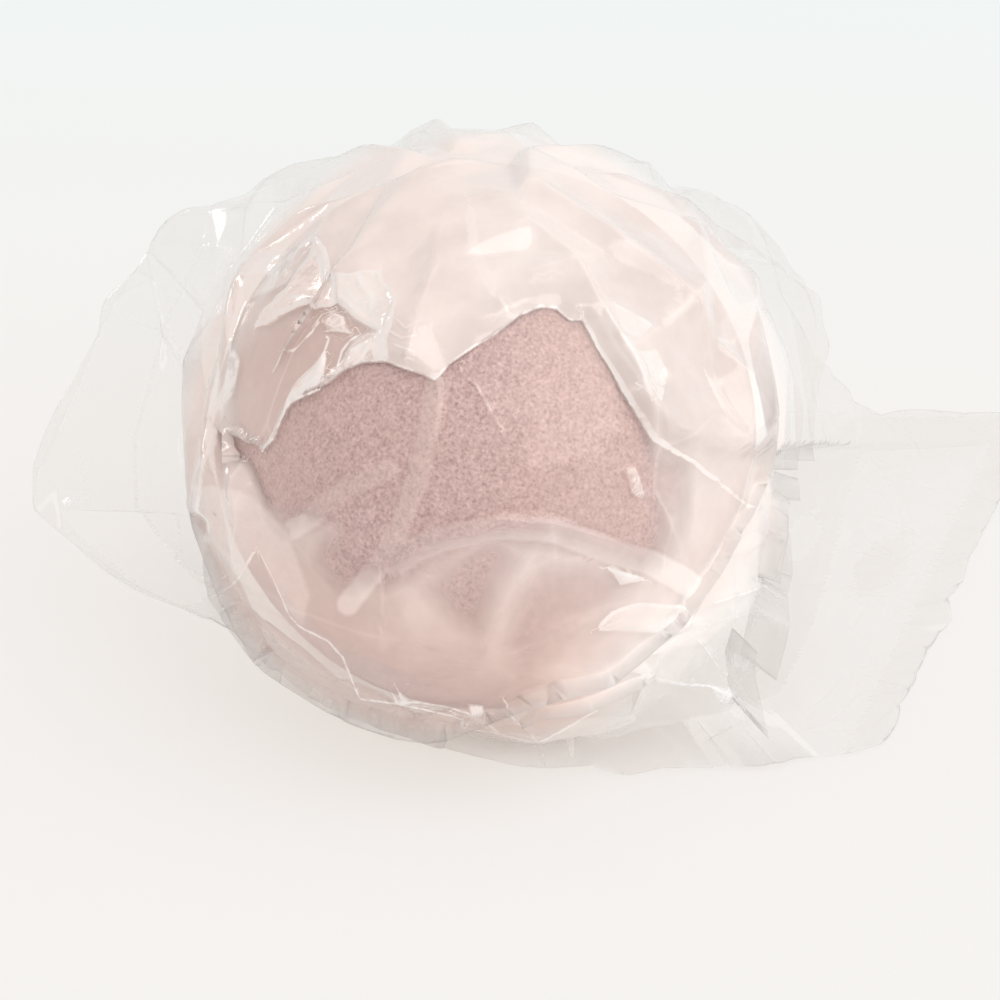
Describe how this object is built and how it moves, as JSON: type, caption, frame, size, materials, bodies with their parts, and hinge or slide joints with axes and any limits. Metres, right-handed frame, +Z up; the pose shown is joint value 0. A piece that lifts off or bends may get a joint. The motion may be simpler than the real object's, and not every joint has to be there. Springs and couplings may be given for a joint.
{
  "type": "makeup sponge",
  "caption": "Short egg of fine-pored pink foam for applying makeup, sealed loose in a slack bag of clear film whose flat ends fold.",
  "frame": {"origin": "on the bag's flat underside, straight below the middle of the sponge's widest section", "axes": "+X towards the bag's mouth end, +Y from the sponge's tip to its blunt back, +Z up"},
  "size_m": [0.0904, 0.0714, 0.0431],
  "materials": {
    "foam": "matte fine-pored foam",
    "film": "thin clear crumpled film",
    "seal": "welded double film"
  },
  "bodies": {
    "bag": {"upper_film": "film", "lower_film": "film"},
    "sponge": {"sponge": "foam"},
    "mouth_end": {"mouth_upper_film": "film", "mouth_lower_film": "film", "mouth_seal": "seal"},
    "closed_end": {"end_upper_film": "film", "end_lower_film": "film", "end_seal": "seal"}
  },
  "joints": [
    {"name": "sponge_shift", "type": "slide", "parent": "bag", "child": "sponge", "axis": [0, 1, 0], "range_m": [0, 0.004]},
    {"name": "mouth_fold", "type": "hinge", "parent": "bag", "child": "mouth_end", "pos_m": [0.02193, -0.01536, 0.00046], "axis": [-0.2239, -0.9746, 0], "range_deg": [0, 65]},
    {"name": "end_fold", "type": "hinge", "parent": "bag", "child": "closed_end", "pos_m": [-0.02513, 0.01893, 0.0253], "axis": [-0.1246, 0.7588, 0.6393], "range_deg": [-20, 30]}
  ]
}
